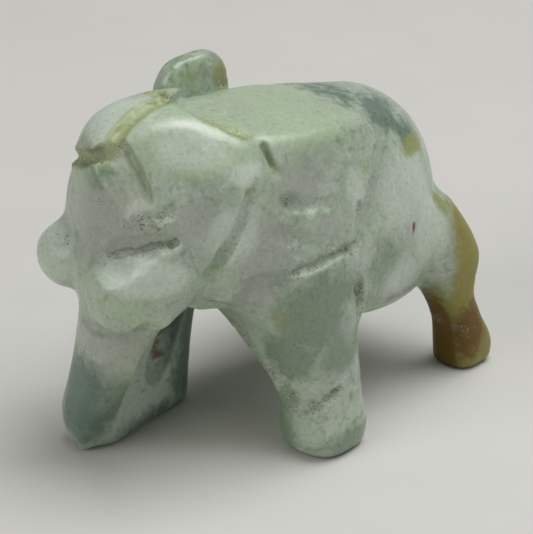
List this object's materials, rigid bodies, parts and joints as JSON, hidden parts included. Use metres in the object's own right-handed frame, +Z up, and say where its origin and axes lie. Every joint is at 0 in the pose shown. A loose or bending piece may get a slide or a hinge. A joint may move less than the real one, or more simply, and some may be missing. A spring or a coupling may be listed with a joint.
{
  "type": "jade elephant carving",
  "caption": "Small standing elephant carved from one piece of pale green jade, head turned, trunk hanging to its forefoot, with flat ear flaps and wheel-cut details.",
  "frame": {"origin": "on the ground under the middle of the figure, the bottom centre of its box", "axes": "+Z up, -Y the way the body faces, +X to the animal's left"},
  "size_m": [0.033, 0.0562, 0.0443],
  "materials": {
    "jade": "waxy polished pale green jade with grey, dark green and russet patches, unpolished in the wheel cuts"
  },
  "bodies": {
    "root": {"jade_elephant": "jade"}
  },
  "joints": []
}
